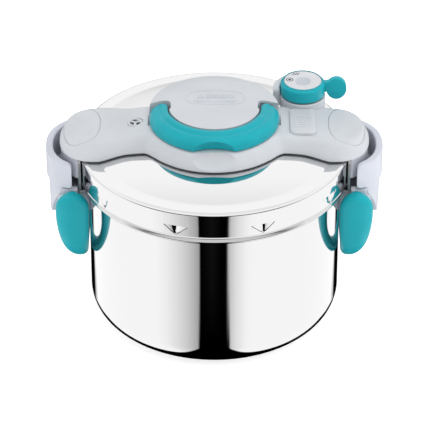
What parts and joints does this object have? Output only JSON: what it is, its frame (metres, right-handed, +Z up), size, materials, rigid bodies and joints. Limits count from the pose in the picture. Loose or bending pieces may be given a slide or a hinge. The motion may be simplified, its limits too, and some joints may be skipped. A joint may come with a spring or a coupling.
{
  "type": "pressure cooker",
  "caption": "Stovetop pressure cooker: polished steel pot, jaw-clamped lid with a carrying beam, lifting bail, steam selector and folding loop handles.",
  "frame": {"origin": "centre of the base, on the surface it stands on", "axes": "+Z up, +X along the beam across the lid towards the steam selector, -Y towards the front where the bail's finger notch is"},
  "size_m": [0.298, 0.2422, 0.2128],
  "materials": {
    "pot_steel": "mirror-polished stainless steel",
    "lid_steel": "mirror-polished stainless steel",
    "base_steel": "spun stainless steel",
    "base_aluminium": "plain, sealed between the steel sheets",
    "inner_steel": "satin stainless steel",
    "jaw_steel": "pressed stainless steel",
    "spring_steel": "drawn wire",
    "grey_plastic": "fine satin moulded light grey",
    "bracket_plastic": "fine satin moulded light grey",
    "teal_plastic": "soft satin teal",
    "dial_plastic": "satin off-white",
    "dial_grey": "satin grey",
    "dark_plastic": "matt dark grey",
    "seal_rubber": "silicone",
    "indicator_dark": "satin dark grey",
    "poppet_plastic": "natural heat-proof plastic"
  },
  "bodies": {
    "pot": {"pot_body": "pot_steel", "base_disc": "base_aluminium", "base_cap": "base_steel", "bracket_left": "bracket_plastic", "bracket_right": "bracket_plastic", "handle_studs": "inner_steel", "handle_screws": "inner_steel", "handle_pins_left": "inner_steel", "handle_pins_right": "inner_steel"},
    "lid": {"lid_shell": "lid_steel", "gasket": "seal_rubber", "lid_studs": "inner_steel", "bridge_plate": "inner_steel", "bridge_nuts": "inner_steel", "bail_bracket": "inner_steel", "bail_pins": "inner_steel", "beam_shell": "grey_plastic", "beam_screws": "inner_steel", "arm_cap_left": "grey_plastic", "arm_cap_right": "grey_plastic", "center_cover": "grey_plastic", "valve_housing": "grey_plastic", "valve_tube": "inner_steel", "valve_nut": "inner_steel", "button_carrier": "dark_plastic", "indicator_bezel": "grey_plastic", "indicator_seal": "seal_rubber", "safety_body": "inner_steel", "safety_cap": "inner_steel"},
    "bail": {"bail_handle": "teal_plastic", "cam_drum_left": "dark_plastic", "cam_drum_right": "dark_plastic"},
    "jaw_left_body": {"jaw_left": "jaw_steel", "jaw_cover_left": "bracket_plastic", "jaw_rivets_left": "inner_steel"},
    "jaw_right_body": {"jaw_right": "jaw_steel", "jaw_cover_right": "bracket_plastic", "jaw_rivets_right": "inner_steel"},
    "loop_left": {"loop_handle_left": "teal_plastic"},
    "loop_right": {"loop_handle_right": "teal_plastic"},
    "selector": {"selector_ring": "teal_plastic", "selector_disc": "dial_plastic", "selector_bowl": "dial_grey"},
    "button": {"release_button": "grey_plastic", "button_spring": "spring_steel"},
    "indicator": {"indicator_pin": "indicator_dark"},
    "plunger": {"valve_plunger": "inner_steel", "valve_spring": "spring_steel"},
    "safety_valve": {"safety_poppet": "poppet_plastic", "safety_spring": "spring_steel"}
  },
  "joints": [
    {"name": "lid_float", "type": "slide", "parent": "pot", "child": "lid", "axis": [0, 0, 1], "range_m": [0, 0.001]},
    {"name": "bail_lift", "type": "hinge", "parent": "lid", "child": "bail", "pos_m": [0, 0, 0.199], "axis": [-1, 0, 0], "range_deg": [0, 90]},
    {"name": "jaw_left_slide", "type": "slide", "parent": "lid", "child": "jaw_left_body", "axis": [-1, 0, 0], "range_m": [0, 0.00601]},
    {"name": "jaw_right_slide", "type": "slide", "parent": "lid", "child": "jaw_right_body", "axis": [1, 0, 0], "range_m": [0, 0.00601]},
    {"name": "loop_left_fold", "type": "hinge", "parent": "pot", "child": "loop_left", "pos_m": [-0.1247, 0, 0.13], "axis": [0, 1, 0], "range_deg": [0, 90]},
    {"name": "loop_right_fold", "type": "hinge", "parent": "pot", "child": "loop_right", "pos_m": [0.1247, 0, 0.13], "axis": [0, -1, 0], "range_deg": [0, 90]},
    {"name": "selector_turn", "type": "hinge", "parent": "lid", "child": "selector", "pos_m": [0.0786, 0.0393, 0.2], "axis": [0, 0, 1], "range_deg": [-20, 60]},
    {"name": "button_press", "type": "slide", "parent": "lid", "child": "button", "axis": [0, 0, -1], "range_m": [0, 0.0015], "stiffness_N_per_m": 600, "springref_m": -0.001, "deforming": ["button_spring"]},
    {"name": "indicator_rise", "type": "slide", "parent": "lid", "child": "indicator", "axis": [0, 0, 1], "range_m": [0, 0.004]},
    {"name": "plunger_lift", "type": "slide", "parent": "lid", "child": "plunger", "axis": [0, 0, 1], "range_m": [0, 0.002], "stiffness_N_per_m": 500, "springref_m": -0.002, "deforming": ["valve_spring"]},
    {"name": "safety_lift", "type": "slide", "parent": "lid", "child": "safety_valve", "axis": [0, 0, 1], "range_m": [0, 0.001], "stiffness_N_per_m": 900, "springref_m": -0.001, "deforming": ["safety_spring"]}
  ],
  "couplings": [
    {"joint": "jaw_left_slide", "follows": "bail_lift", "m_per_rad": 0.0038197},
    {"joint": "jaw_right_slide", "follows": "bail_lift", "m_per_rad": 0.0038197}
  ]
}
